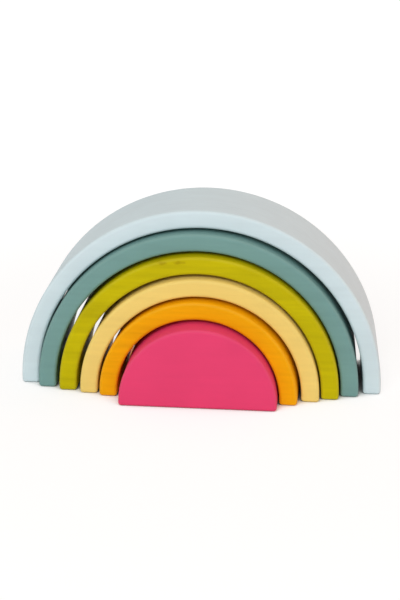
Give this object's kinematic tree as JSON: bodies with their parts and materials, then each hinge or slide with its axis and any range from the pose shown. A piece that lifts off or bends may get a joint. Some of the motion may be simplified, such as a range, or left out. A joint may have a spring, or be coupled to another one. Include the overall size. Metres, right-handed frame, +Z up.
{
  "type": "rainbow stacker",
  "caption": "Nest of painted wooden arches over a solid half-round core; each loose piece slides out of the next larger one and stands by itself as a tunnel or bridge.",
  "frame": {"origin": "on the ground, under the middle of the nest's box as it stands at rest", "axes": "+Z up from the feet, +X along the width of the arches, -Y towards the front, where the inner pieces stand out step by step"},
  "size_m": [0.18, 0.074, 0.0918],
  "materials": {
    "sky_paint": "satin opaque paint over close-grained wood, pale sky blue",
    "sea_paint": "satin opaque paint over close-grained wood, grey sea green",
    "leaf_paint": "satin opaque paint over close-grained wood, yellow leaf green",
    "straw_paint": "satin opaque paint over close-grained wood, pale straw yellow",
    "amber_paint": "satin opaque paint over close-grained wood, amber orange",
    "rose_paint": "satin opaque paint over close-grained wood, rose pink"
  },
  "bodies": {
    "sky_arch": {"sky_arch": "sky_paint"},
    "sea_arch": {"sea_arch": "sea_paint"},
    "leaf_arch": {"leaf_arch": "leaf_paint"},
    "straw_arch": {"straw_arch": "straw_paint"},
    "amber_arch": {"amber_arch": "amber_paint"},
    "rose_core": {"rose_core": "rose_paint"}
  },
  "joints": [
    {"name": "sea_slide", "type": "slide", "parent": "sky_arch", "child": "sea_arch", "axis": [0, -1, 0], "range_m": [-0.0578, 0.0482]},
    {"name": "leaf_slide", "type": "slide", "parent": "sea_arch", "child": "leaf_arch", "axis": [0.0031, -1, 0], "range_m": [-0.0569, 0.0491]},
    {"name": "straw_slide", "type": "slide", "parent": "leaf_arch", "child": "straw_arch", "axis": [-0.0047, -1, 0], "range_m": [-0.0563, 0.0497]},
    {"name": "amber_slide", "type": "slide", "parent": "straw_arch", "child": "amber_arch", "axis": [-0.0141, -0.9999, 0], "range_m": [-0.057, 0.049]},
    {"name": "rose_slide", "type": "slide", "parent": "amber_arch", "child": "rose_core", "axis": [-0.0437, -0.999, 0], "range_m": [-0.0627, 0.0433]}
  ]
}
